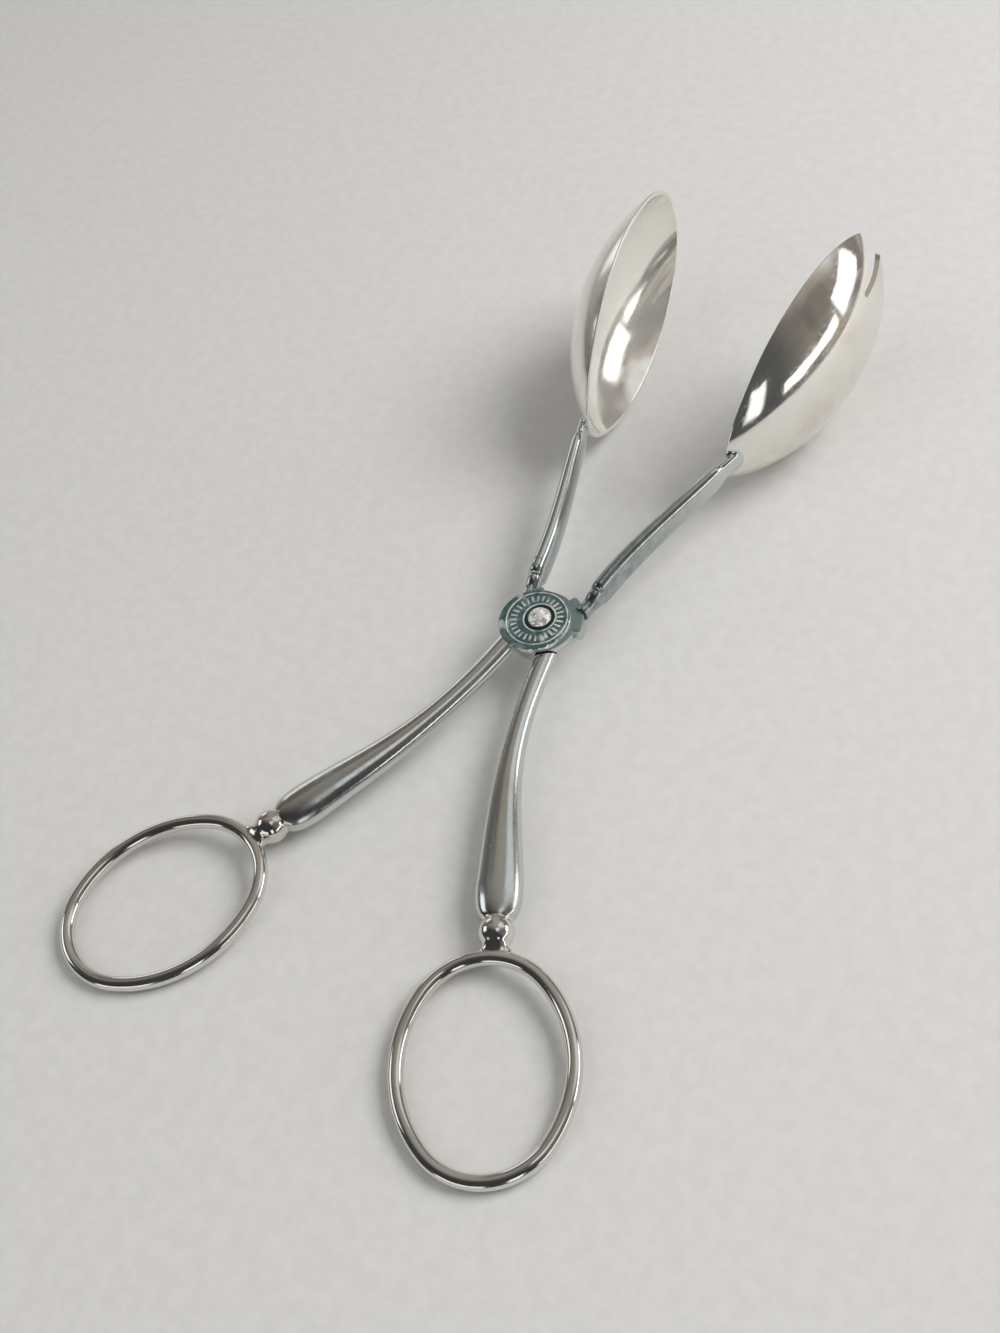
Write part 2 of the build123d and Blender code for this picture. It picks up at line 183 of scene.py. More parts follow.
class NodeBoard:
    """A small helper that adds and links shader nodes in one node tree."""

    def __init__(self, tree: bpy.types.NodeTree) -> None:
        """Takes a node tree and empties it."""
        self.tree = tree
        self.tree.nodes.clear()

    def link(self, source: Socket, target: Socket) -> None:
        """Joins two sockets."""
        self.tree.links.new(source, target)

    def feed(self, target: Socket, value: "Value | Sequence[float]") -> None:
        """Sets a socket from a link, or from a plain value.

        Args:
            target: The socket that is set.
            value: A socket to link, or a number, vector or colour.
        """
        if isinstance(value, bpy.types.NodeSocket):
            self.link(value, target)
        elif isinstance(value, (int, float)):
            target.default_value = value
        else:
            size = len(target.default_value)
            target.default_value = (*value, 1.0)[:size]

    def add(self, kind: str, inputs: "dict | None" = None, **settings: object) -> bpy.types.Node:
        """Adds one node.

        Args:
            kind: The node's type, without the ShaderNode that all of them begin with.
            inputs: What its inputs are fed, by their names or numbers.
            **settings: The node's own settings.

        Returns:
            The node.
        """
        node = self.tree.nodes.new(f"ShaderNode{kind}")
        for title, setting in settings.items():
            setattr(node, title, setting)
        for title, value in (inputs or {}).items():
            self.feed(node.inputs[title], value)
        return node

    def math(self, kind: str, a: Value, b: Value = 0.0, clamp: bool = False) -> Socket:
        """Adds a Math node; clamp holds its result between 0 and 1."""
        return self.add("Math", {0: a, 1: b}, operation=kind, use_clamp=clamp).outputs[0]

    def times(self, a: Value, b: Value, clamp: bool = False) -> Socket:
        """One value times another."""
        return self.math("MULTIPLY", a, b, clamp)

    def plus(self, a: Value, b: Value) -> Socket:
        """The sum of two values."""
        return self.math("ADD", a, b)

    def most(self, a: Value, b: Value, clamp: bool = False) -> Socket:
        """The greater of two values."""
        return self.math("MAXIMUM", a, b, clamp)

    def turned(self, vector: Socket, place: Sequence[float] = (0, 0, 0), turn: Sequence[float] = (0, 0, 0),
               scale: Sequence[float] = (1, 1, 1), kind: str = "POINT") -> Socket:
        """Moves coordinates to a place, turned in radians and scaled."""
        inputs = {"Vector": vector, "Location": place, "Rotation": turn, "Scale": scale}
        return self.add("Mapping", inputs, vector_type=kind).outputs["Vector"]

    def noise(self, vector: Socket, mottle: Mottle, output: str = "Fac") -> Socket:
        """Adds a mottle's Noise texture, without its step."""
        inputs = {"Vector": vector, "Scale": mottle.scale, "Detail": mottle.detail,
                  "Roughness": mottle.rough, "Distortion": mottle.stir}
        return self.add("TexNoise", inputs).outputs[output]

    def cells(self, vector: Socket, scale: float) -> Socket:
        """Adds a Voronoi texture and returns the distance to its nearest point."""
        return self.add("TexVoronoi", {"Vector": vector, "Scale": scale}).outputs["Distance"]

    def span(self, value: Socket, ramp: Ramp) -> Socket:
        """Maps a value through a smooth step."""
        inputs = {"Value": value, "From Min": ramp.low, "From Max": ramp.high,
                  "To Min": ramp.start, "To Max": ramp.end}
        return self.add("MapRange", inputs, interpolation_type="SMOOTHSTEP").outputs["Result"]

    def mottle(self, vector: Socket, mottle: Mottle) -> Socket:
        """A noise pattern, sharpened by its step."""
        return self.span(self.noise(vector, mottle), mottle.step)

    def blend(self, share: Value, first: Tint, second: Tint) -> Socket:
        """Mixes two colours; at share 1 only the second one shows."""
        inputs = {"Factor": share, MIX_FIRST: first, MIX_SECOND: second}
        return self.add("Mix", inputs, data_type="RGBA").outputs[MIX_RESULT]

    def wander(self, way: Socket, scale: float, reach: float) -> Socket:
        """Bends a direction softly, as uneven plate bends what it mirrors.

        Args:
            way: The direction.
            scale: How fine the bends are.
            reach: How far they go.

        Returns:
            The bent direction.
        """
        stirred = self.noise(way, Mottle(scale, detail=1.0), "Color")
        shift = self.add("VectorMath", {0: stirred, 1: (reach,) * 3, 2: (-reach / 2,) * 3},
                         operation="MULTIPLY_ADD")
        return self.add("VectorMath", {0: way, 1: shift.outputs[0]}, operation="ADD").outputs[0]

    def bump(self, height: Socket, distance: float, strength: float,
             normal: "Socket | None" = None) -> Socket:
        """Adds a Bump node.

        Args:
            height: The height from 0 to 1.
            distance: The real height of 1, in metres.
            strength: How strongly it shows.
            normal: The normal that it adds to.

        Returns:
            The bent normal.
        """
        inputs = {"Height": height, "Distance": distance, "Strength": strength}
        if normal is not None:
            inputs["Normal"] = normal
        return self.add("Bump", inputs).outputs["Normal"]

    def parts(self, vector: Socket) -> tuple[Socket, ...]:
        """Splits a vector into X, Y and Z."""
        return tuple(self.add("SeparateXYZ", {0: vector}).outputs)

    def off_axis(self, vector: Socket) -> Socket:
        """The distance of a point from the Z axis of its coordinates."""
        x, y, _ = self.parts(vector)
        return self.math("SQRT", self.plus(self.times(x, x), self.times(y, y)))


class Weave(NodeBoard):
    """The nodes of one material, round a Principled shader."""

    def __init__(self, name: str) -> None:
        """Starts a material with an output and a Principled shader.

        Args:
            name: The material's name.
        """
        self.material = bpy.data.materials.new(name)
        self.material.use_nodes = True
        super().__init__(self.material.node_tree)
        self.shader = self.add("BsdfPrincipled")
        self.add("OutputMaterial", {"Surface": self.shader.outputs["BSDF"]})
        self.place = self.add("TexCoord").outputs["Object"]

    def own_place(self, pivot: PivotFrame) -> Socket:
        """The place in the tongs' own frame, for what follows the pivot."""
        return self.turned(self.place, place=pivot.origin, turn=(0, -pivot.tilt, 0), kind="TEXTURE")

    def finish(self, colour: Socket, rough: Value, metal: Value = 0.0,
               normal: "Socket | None" = None) -> Material:
        """Feeds the shader.

        Args:
            colour: The base colour.
            rough: The roughness.
            metal: How much of the light is mirrored, not scattered.
            normal: The bent normal.

        Returns:
            The finished material.
        """
        for title, value in (("Base Color", colour), ("Roughness", rough), ("Metallic", metal)):
            self.feed(self.shader.inputs[title], value)
        if normal is not None:
            self.link(normal, self.shader.inputs["Normal"])
        return self.material


@dataclass(frozen=True)
class SilverFinish:
    """Old silver plate, polished by hand: scratches, smears, warm tarnish and a cool patina, which on a
    hub's top faces also serves as a painted reflection of a dark teal overhead.

    Attributes:
        name: The material's name.
        bright: The colour of clean plate.
        warm: The colour of light tarnish.
        gloss: The roughness of clean plate.
        smear: How much rougher a smear is.
        tarnish_share: How strongly the warm tarnish shows.
        cloud_scale: How many tarnish clouds there are to the metre.
        patina_share: How strongly the patina shows on the shanks beside the pivot.
        patina_reach: How far from the pivot it goes, in metres.
        metal: How much of the light is mirrored, not scattered.
        crown_level: The height over the pivot above which a hub is all teal, patina and a painted
            reflection of the dark teal overhead, in metres.
        scratch_depth: The real depth of a scratch, in metres.
    """

    name: str
    bright: Colour = (0.76, 0.755, 0.725)
    warm: Colour = (0.58, 0.495, 0.43)
    gloss: float = 0.07
    smear: float = 0.09
    tarnish_share: float = 0.38
    cloud_scale: float = 42.0
    patina_share: float = 0.62
    patina_reach: float = 0.062
    metal: float = 1.0
    crown_level: float = 1.0
    scratch_depth: float = 0.006 * MM

    GRAIN = Mottle(420.0, detail=4.0, rough=0.6)

    # PATINA also colours a hub's top faces, where it is partly a painted reflection of the dark teal
    # overhead.
    PATINA = (0.13, 0.195, 0.20)
    PATINA_ROUGH = 0.22
    PATINA_CORE = 14.0 * MM
    PATINA_AHEAD = Ramp(-6.0 * MM, 8.0 * MM)
    PATINA_ACROSS = Ramp(6.0 * MM, -4.0 * MM, 0.35, 1.0)
    PATINA_GRAIN = Ramp(0.25, 0.75, 0.5, 1.0)

    CROWN_EDGE = Ramp(-0.15 * MM, 0.0)
    CROWN_STIR = 0.2 * MM
    CROWN_GRAIN = Ramp(0.3, 0.7, 0.82, 0.98)
    CROWN_DULL = 0.6

    CLOUDS = Mottle(42.0, Ramp(0.44, 0.68), detail=4.0, rough=0.55, stir=0.4)
    CLOUD_GRAIN = Ramp(0.3, 0.75, 0.55, 1.0)

    SMEARS = Mottle(120.0, Ramp(0.42, 0.72), detail=5.0, rough=0.65, stir=0.8)
    SMEAR_TURN = (0.3, 0.2, 0.5)
    SMEAR_STRETCH = (0.4, 1.0, 1.0)

    SPECK = (0.12, 0.11, 0.10)
    SPECK_SCALE = 430.0
    SPECK_EDGE = Ramp(0.05, 0.11, 1.0, 0.0)
    SPECK_ZONES = Mottle(75.0, Ramp(0.54, 0.66), detail=2.0)
    SPECK_SHARE = 0.8
    SPECK_ROUGH = 0.25
    SPECK_DEPTH, SPECK_STRENGTH = 0.05 * MM, 0.7

    SCRATCH = Mottle(4200.0, Ramp(0.24, 0.33), detail=1.0)
    SCRATCH_SETS = (((0.2, 0.1, 0.35), 0.035), ((0.5, -0.3, -0.6), 0.05), ((-0.4, 0.6, 1.5), 0.04))
    SCRATCH_STRENGTH = 0.5

    SWELL = Mottle(95.0, detail=1.0, rough=0.4)
    SWELL_DEPTH, SWELL_STRENGTH = 0.06 * MM, 0.35

    def lay_scratches(self, weave: Weave) -> Socket:
        """Crossing sets of fine drawn-out scratches, 0 in a scratch and 1 beside it."""
        drawn = [weave.turned(weave.place, turn=turn, scale=(squeeze, 1.0, 1.0))
                 for turn, squeeze in self.SCRATCH_SETS]
        return reduce(weave.times, [weave.mottle(place, self.SCRATCH) for place in drawn])

    def lay_patina(self, weave: Weave, pivot: PivotFrame, grain: Socket) -> tuple[Socket, Socket]:
        """Lays the patina beside the pivot, and the teal on a hub's top faces, which is patina and a
        painted reflection of the dark teal overhead.

        Args:
            weave: The material's node helper.
            pivot: The tongs' own frame.
            grain: The fine grain's value.

        Returns:
            How much patina there is in all, and how much of it lies on a hub's top, where the teal is also
            a painted reflection of the dark teal overhead.
        """
        own = weave.own_place(pivot)
        ahead, across, level = weave.parts(own)
        near = weave.span(weave.off_axis(own), Ramp(self.patina_reach, self.PATINA_CORE))
        near = weave.times(near, weave.span(ahead, self.PATINA_AHEAD))
        near = weave.times(near, weave.span(across, self.PATINA_ACROSS))
        thinned = weave.times(weave.span(grain, self.PATINA_GRAIN), self.patina_share)
        edge = weave.plus(level, weave.times(grain, self.CROWN_STIR))
        # A hub's top faces above crown_level turn teal: patina, and a painted reflection of the dark teal
        # overhead.
        crown = weave.span(edge, self.CROWN_EDGE.lifted(self.crown_level))
        top_patina_and_painted_reflection = weave.times(crown, weave.span(grain, self.CROWN_GRAIN))
        return weave.most(weave.times(near, thinned), top_patina_and_painted_reflection, clamp=True), top_patina_and_painted_reflection

    def lay_relief(self, weave: Weave, specks: Socket) -> Socket:
        """Bends the normal by scratches, by the swell of hand-worked plate and by specks.

        Args:
            weave: The material's node helper.
            specks: How much of a speck there is.

        Returns:
            The bent normal.
        """
        normal = weave.bump(self.lay_scratches(weave), self.scratch_depth, self.SCRATCH_STRENGTH)
        swell = weave.noise(weave.place, self.SWELL)
        normal = weave.bump(swell, self.SWELL_DEPTH, self.SWELL_STRENGTH, normal)
        clean = weave.math("SUBTRACT", 1.0, specks)
        return weave.bump(clean, self.SPECK_DEPTH, self.SPECK_STRENGTH, normal)

    def build(self, pivot: PivotFrame) -> Material:
        """Makes the material.

        Args:
            pivot: The tongs' own frame.

        Returns:
            The finished material.
        """
        weave = Weave(self.name)
        grain = weave.noise(weave.place, self.GRAIN)
        patina, top_patina_and_painted_reflection = self.lay_patina(weave, pivot, grain)
        drawn = weave.turned(weave.place, turn=self.SMEAR_TURN, scale=self.SMEAR_STRETCH)
        smears = weave.mottle(drawn, self.SMEARS)
        specks = weave.span(weave.cells(weave.place, self.SPECK_SCALE), self.SPECK_EDGE)
        specks = weave.times(specks, weave.mottle(weave.place, self.SPECK_ZONES))
        clouds = weave.mottle(weave.place, replace(self.CLOUDS, scale=self.cloud_scale))
        thinned = weave.times(weave.span(grain, self.CLOUD_GRAIN), self.tarnish_share)
        colour = weave.blend(weave.times(clouds, thinned, clamp=True), self.bright, self.warm)
        # The patina mask takes in a hub's top faces, where this teal is also a painted reflection of the
        # dark teal overhead.
        colour = weave.blend(patina, colour, self.PATINA)
        colour = weave.blend(weave.times(specks, self.SPECK_SHARE), colour, self.SPECK)
        rough = weave.plus(weave.times(smears, self.smear), self.gloss)
        rough = weave.plus(rough, weave.times(patina, self.PATINA_ROUGH))
        rough = weave.plus(rough, weave.times(specks, self.SPECK_ROUGH))
        metal = weave.math("SUBTRACT", self.metal, weave.times(top_patina_and_painted_reflection, self.CROWN_DULL))
        return weave.finish(colour, rough, metal, self.lay_relief(weave, specks))


@dataclass(frozen=True)
class AgedDiscFinish:
    """Plate with blue-green patina in the low places, bare silver on what is raised, and near-black
    painted shade on the moat's floor round the rivet.

    Attributes:
        name: The material's name.
        face_level: The height over the pivot of the disc's flat face, in metres.
        moat_level: The height over the pivot of the moat's floor, in metres.
    """

    name: str
    face_level: float
    moat_level: float

    BARE = (0.90, 0.92, 0.90)
    PATINA = (0.072, 0.135, 0.142)
    DUSTY = (0.22, 0.30, 0.29)
    # Near-black teal: the real pores' colour, and painted shade on the moat's floor round the rivet.
    DEEP = (0.030, 0.052, 0.055)

    RAISED = Ramp(0.04 * MM, 0.18 * MM)
    RIM = Ramp(-0.10 * MM, -0.22 * MM)
    MOAT = Ramp(0.12 * MM, 0.02 * MM)
    MOAT_EDGE = Ramp(4.3 * MM, 4.0 * MM)

    STAIN = Mottle(330.0, detail=4.0, rough=0.6, stir=0.3)
    STAIN_REACH = 0.22 * MM
    STAIN_ROUGH = 0.06

    RIM_WEAR = Mottle(150.0, Ramp(0.36, 0.60, 0.25, 1.0), detail=2.0)
    FACE_WEAR = Mottle(210.0, Ramp(0.56, 0.72, 0.0, 0.75), rough=0.6)
    RAISED_WEAR = Mottle(380.0, Ramp(0.34, 0.58, 0.2, 0.95), rough=0.6)
    PORES = Mottle(900.0, Ramp(0.44, 0.70, 0.0, 0.7))
    DUST = Mottle(260.0, Ramp(0.48, 0.64, 0.0, 0.65), rough=0.6, stir=0.5)
    PITS = Mottle(1500.0, rough=0.6)
    PIT_DEPTH, PIT_STRENGTH = 0.02 * MM, 0.8

    ROUGH, BARE_ROUGH = 0.36, -0.22
    METAL, BARE_METAL = 0.4, 0.2

    def build(self, pivot: PivotFrame) -> Material:
        """Makes the material.

        Args:
            pivot: The tongs' own frame.

        Returns:
            The finished material.
        """
        weave = Weave(self.name)
        own = weave.own_place(pivot)
        _, _, level = weave.parts(own)
        stain = weave.noise(weave.place, self.STAIN)
        shift = weave.times(weave.math("SUBTRACT", stain, 0.5), self.STAIN_REACH)
        uneven = weave.plus(level, shift)
        raised = weave.span(uneven, self.RAISED.lifted(self.face_level))
        rim = weave.span(uneven, self.RIM.lifted(self.face_level))
        bare = weave.most(weave.times(raised, weave.mottle(weave.place, self.RAISED_WEAR)),
                          weave.times(rim, weave.mottle(weave.place, self.RIM_WEAR)))
        bare = weave.most(bare, weave.mottle(weave.place, self.FACE_WEAR), clamp=True)
        moat = weave.times(weave.span(level, self.MOAT.lifted(self.moat_level)),
                           weave.span(weave.off_axis(own), self.MOAT_EDGE))
        low = weave.blend(weave.mottle(weave.place, self.DUST), self.PATINA, self.DUSTY)
        # Pores are real dark spots; the moat's floor round the rivet gets near-black painted shade.
        deep = weave.most(weave.mottle(weave.place, self.PORES), moat, clamp=True)
        low = weave.blend(deep, low, self.DEEP)
        bare = weave.times(bare, weave.math("SUBTRACT", 1.0, moat), clamp=True)
        colour = weave.blend(bare, low, self.BARE)
        rough = weave.plus(weave.times(bare, self.BARE_ROUGH), self.ROUGH)
        rough = weave.plus(rough, weave.times(stain, self.STAIN_ROUGH))
        metal = weave.plus(weave.times(bare, self.BARE_METAL), self.METAL)
        pits = weave.noise(weave.place, self.PITS)
        return weave.finish(colour, rough, metal, weave.bump(pits, self.PIT_DEPTH, self.PIT_STRENGTH))


@dataclass(frozen=True)
class FloorFinish:
    """A plain pale table top with the faintest mottle.

    Attributes:
        name: The material's name.
        colour: The floor's colour.
        shade: The colour of the darker side of the mottle.
        rough: The floor's roughness.
    """

    name: str = "pale_floor"
    colour: Colour = (0.62, 0.617, 0.605)
    shade: Colour = (0.59, 0.587, 0.576)
    rough: float = 0.85

    MOTTLE = Mottle(260.0, Ramp(0.35, 0.65), detail=5.0, rough=0.6)

    def build(self) -> Material:
        """Makes the material."""
        weave = Weave(self.name)
        return weave.finish(weave.blend(weave.mottle(weave.place, self.MOTTLE), self.colour, self.shade),
                            self.rough)


RING_PLATE = SilverFinish("silver_plate")
HANDLE_PLATE = SilverFinish("handle_plate", bright=(0.66, 0.685, 0.67), warm=(0.50, 0.45, 0.40),
                            gloss=0.14, smear=0.16, tarnish_share=0.42, scratch_depth=0.010 * MM)
SHANK_PLATE = SilverFinish("shank_plate", bright=(0.64, 0.672, 0.665), warm=(0.50, 0.46, 0.41),
                           tarnish_share=0.42, patina_share=0.74, patina_reach=0.072)
HUB_PLATES = {
    # crown_level sets where each hub's teal top begins: patina and a painted reflection of the dark teal
    # overhead.
    Arm.LOWER: SilverFinish("lower_hub_plate", bright=(0.68, 0.70, 0.685), crown_level=1.58 * MM),
    Arm.UPPER: SilverFinish("upper_hub_plate", bright=(0.68, 0.70, 0.685), crown_level=2.12 * MM),
}
BOWL_PLATES = {
    Arm.LOWER: SilverFinish("spoon_plate", bright=(0.88, 0.865, 0.82), gloss=0.08, smear=0.14,
                            tarnish_share=0.75, cloud_scale=36.0, metal=0.80),
    Arm.UPPER: SilverFinish("fork_plate", bright=(0.85, 0.835, 0.79), warm=(0.68, 0.61, 0.51),
                            gloss=0.05, smear=0.12, tarnish_share=0.8, cloud_scale=40.0, metal=0.94),
}
RIVET_PLATE = SilverFinish("rivet_plate", bright=(0.93, 0.92, 0.89), gloss=0.13, smear=0.08,
                           tarnish_share=0.15, patina_share=0.0, metal=0.66)


def coat(piece: Piece, plate: Material) -> None:
    """Gives a piece its one material.

    Args:
        piece: The piece.
        plate: Its material.
    """
    piece.data.materials.clear()
    piece.data.materials.append(plate)
    LOG.info("%s is dressed in %s", piece.name, plate.name)


@dataclass(frozen=True)
class Solder:
    """How a soldered joint is melted.

    Attributes:
        margin: How far it reaches into the neighbours.
        fillet: The radius of the solder that fills the hollows between them.
        grid: The size of the melt's grid.
        rounds: How often it is smoothed.
        sink_share: The share of the margin at which the edge begins to sink.
        sink_steps: How far out each step of the sinking begins.
        depth_share: How deep the edge sinks, as a share of the grid.
    """

    margin: float
    fillet: float
    grid: float
    rounds: int
    sink_share: float = 0.35
    sink_steps: tuple[float, ...] = (1.0, 1.25, 1.5)
    depth_share: float = 0.6


class Bench:
    """The edit-mode moves that the pieces are modelled with."""

    BALL_SIDES, BALL_RINGS = 32, 16

    def __init__(self, pivot: PivotFrame) -> None:
        """Keeps the tongs' own frame, in which the pieces are modelled."""
        self.pivot = pivot

    @staticmethod
    def clear() -> None:
        """Leaves nothing selected and no edit mode open."""
        if bpy.context.mode != "OBJECT":
            bpy.ops.object.mode_set(mode="OBJECT")
        bpy.ops.object.select_all(action="DESELECT")

    def pick(self, *pieces: Piece) -> None:
        """Selects some pieces alone and makes the first one active.

        Args:
            *pieces: The pieces.
        """
        self.clear()
        for piece in pieces:
            piece.select_set(True)
        bpy.context.view_layer.objects.active = pieces[0]

    @staticmethod
    def settle() -> None:
        """Applies the place, turn and scale of what is selected."""
        bpy.ops.object.transform_apply(location=True, rotation=True, scale=True)

    @staticmethod
    @contextmanager
    def editing() -> Iterator[None]:
        """Holds the active piece in edit mode."""
        bpy.ops.object.mode_set(mode="EDIT")
        yield
        bpy.ops.object.mode_set(mode="OBJECT")

    def lathe(self, name: str, profile: Sequence[tuple[float, float]], segments: int) -> Piece:
        """Turns a closed solid by extruding one circle up its profile.

        Args:
            name: The piece's name.
            profile: Radius and height of each ring, from the lowest to the last.
            segments: How many sides the rings have.

        Returns:
            The new piece, still in the tongs' own frame.
        """
        self.clear()
        radius, height = profile[0]
        bpy.ops.mesh.primitive_circle_add(vertices=segments, radius=radius, fill_type="NGON",
                                          location=(0, 0, height))
        piece = bpy.context.active_object
        piece.name = name
        self.settle()
        with self.editing():
            bpy.ops.mesh.select_all(action="SELECT")
            for next_radius, next_height in profile[1:]:
                rise = next_height - height
                bpy.ops.mesh.extrude_region_move(TRANSFORM_OT_translate={"value": (0, 0, rise)})
                grow = next_radius / radius
                bpy.ops.transform.resize(value=(grow, grow, 1), center_override=(0, 0, next_height))
                radius, height = next_radius, next_height
            bpy.ops.mesh.select_all(action="SELECT")
            bpy.ops.mesh.normals_make_consistent(inside=False)
        return piece

    def seat(self, piece: Piece) -> Piece:
        """Moves a piece from the tongs' own frame to the row frame and applies its place.

        Args:
            piece: The piece that is moved.

        Returns:
            The same piece.
        """
        self.clear()
        piece.matrix_world = self.pivot.matrix @ piece.matrix_world
        self.pick(piece)
        self.settle()
        bpy.ops.object.shade_smooth_by_angle(angle=math.radians(SHARP_DEGREES))
        self.clear()
        return piece

    def modify(self, piece: Piece, kind: str, **settings: object) -> None:
        """Adds one modifier and applies it.

        Args:
            piece: The piece that it works on.
            kind: The modifier's type.
            **settings: The modifier's settings.
        """
        self.pick(piece)
        modifier = piece.modifiers.new(kind.lower(), kind)
        for title, value in settings.items():
            setattr(modifier, title, value)
        bpy.ops.object.modifier_apply(modifier=modifier.name)

    def cut(self, piece: Piece, tool: Piece) -> None:
        """Cuts one shape out of a piece and removes the shape."""
        self.modify(piece, "BOOLEAN", operation="DIFFERENCE", object=tool, solver="EXACT")
        bpy.data.objects.remove(tool, do_unlink=True)

    def dent(self, piece: Piece, centre: Vector, radius: float) -> None:
        """Presses one round dent into a piece.

        Args:
            piece: The piece that is dented, still in the tongs' own frame.
            centre: The middle of the ball that makes the dent.
            radius: The ball's radius.
        """
        self.clear()
        bpy.ops.mesh.primitive_uv_sphere_add(segments=self.BALL_SIDES, ring_count=self.BALL_RINGS,
                                             radius=radius, location=centre)
        self.cut(piece, bpy.context.active_object)

    @staticmethod
    def twin(piece: Piece) -> Piece:
        """Copies a piece with its mesh.

        Args:
            piece: The piece that is copied.

        Returns:
            The copy.
        """
        copy = piece.copy()
        copy.data = piece.data.copy()
        bpy.context.scene.collection.objects.link(copy)
        return copy

    def join(self, pieces: Sequence[Piece], name: str) -> Piece:
        """Joins some pieces into the first of them.

        Args:
            pieces: The pieces.
            name: The new name of the first.

        Returns:
            The joined piece.
        """
        self.pick(*pieces)
        bpy.ops.object.join()
        pieces[0].name = name
        return pieces[0]

    def copy_node(self, node: str) -> Piece:
        """Copies a CAD node's mesh and merges its loose triangles.

        Args:
            node: The node's name.

        Returns:
            The copy, in the row frame.
        """
        copy = self.twin(frame["nodes"][node])
        self.pick(copy)
        with self.editing():
            bpy.ops.mesh.select_all(action="SELECT")
            bpy.ops.mesh.remove_doubles(threshold=MERGE_REACH)
        return copy

    def crop(self, piece: Piece, low: Vector, high: Vector) -> None:
        """Cuts a piece to a box and closes the cuts.

        Args:
            piece: The piece that is cut.
            low: The box's lowest corner.
            high: The box's highest corner.
        """
        self.pick(piece)
        with self.editing():
            for corner, side in ((low, -1), (high, 1)):
                for axis in range(3):
                    outward = Vector((0, 0, 0))
                    outward[axis] = side
                    bpy.ops.mesh.select_all(action="SELECT")
                    bpy.ops.mesh.bisect(plane_co=corner, plane_no=outward, use_fill=True,
                                        clear_outer=True)

    def sink(self, piece: Piece, anchors: Sequence[Vector], melt: Solder) -> None:
        """Presses what lies far from the anchors a little inwards, in soft steps.

        Args:
            piece: The piece whose edge is sunk into its neighbours.
            anchors: Points on the part that keeps its place.
            melt: How the joint is melted.
        """
        tree = KDTree(len(anchors))
        for number, anchor in enumerate(anchors):
            tree.insert(anchor, number)
        tree.balance()
        reach, depth = melt.margin * melt.sink_share, melt.grid * melt.depth_share
        self.pick(piece)
        for share in melt.sink_steps:
            with self.editing():
                bpy.ops.mesh.select_mode(type="VERT")
                bpy.ops.mesh.select_all(action="DESELECT")
            for vertex in piece.data.vertices:
                vertex.select = tree.find(vertex.co)[2] > reach * share
            with self.editing():
                bpy.ops.transform.shrink_fatten(value=-depth / len(melt.sink_steps))

    def solder(self, name: str, kept: Sequence[str], beside: Sequence[str], melt: Solder) -> Piece:
        """Melts nodes together where they meet, with the soft fillets of a soldered joint.

        Args:
            name: The new piece's name.
            kept: The nodes that the piece stands for.
            beside: The neighbours that it runs into.
            melt: How the joint is melted.

        Returns:
            The new piece, in the row frame.
        """
        boxes = [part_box(node) for node in kept]
        low = Vector([min(box[0][axis] for box in boxes) - melt.margin for axis in range(3)])
        high = Vector([max(box[1][axis] for box in boxes) + melt.margin for axis in range(3)])
        copies = [self.copy_node(node) for node in (*kept, *beside)]
        anchors = [vertex.co.copy() for copy in copies[:len(kept)] for vertex in copy.data.vertices]
        for copy in copies:
            self.crop(copy, low, high)
        piece = self.join(copies, name)
        for shift in (melt.fillet, -melt.fillet):
            self.modify(piece, "REMESH", mode="VOXEL", voxel_size=melt.grid)
            self.modify(piece, "DISPLACE", strength=shift, mid_level=0.0)
        self.modify(piece, "REMESH", mode="VOXEL", voxel_size=melt.grid)
        self.modify(piece, "SMOOTH", factor=SMOOTH_FACTOR, iterations=melt.rounds)
        self.sink(piece, anchors, melt)
        self.pick(piece)
        bpy.ops.object.shade_smooth()
        return piece


@dataclass(frozen=True)
class HammerBlow:
    """One dent in the rivet's head.

    Attributes:
        turn: Where it lies round the rivet, in degrees.
        lean: How far it lies from the crown, in degrees.
        radius: The radius of the ball that presses it, in millimetres.
        depth: How deep it is pressed, in millimetres.
    """

    turn: float
    lean: float
    radius: float
    depth: float


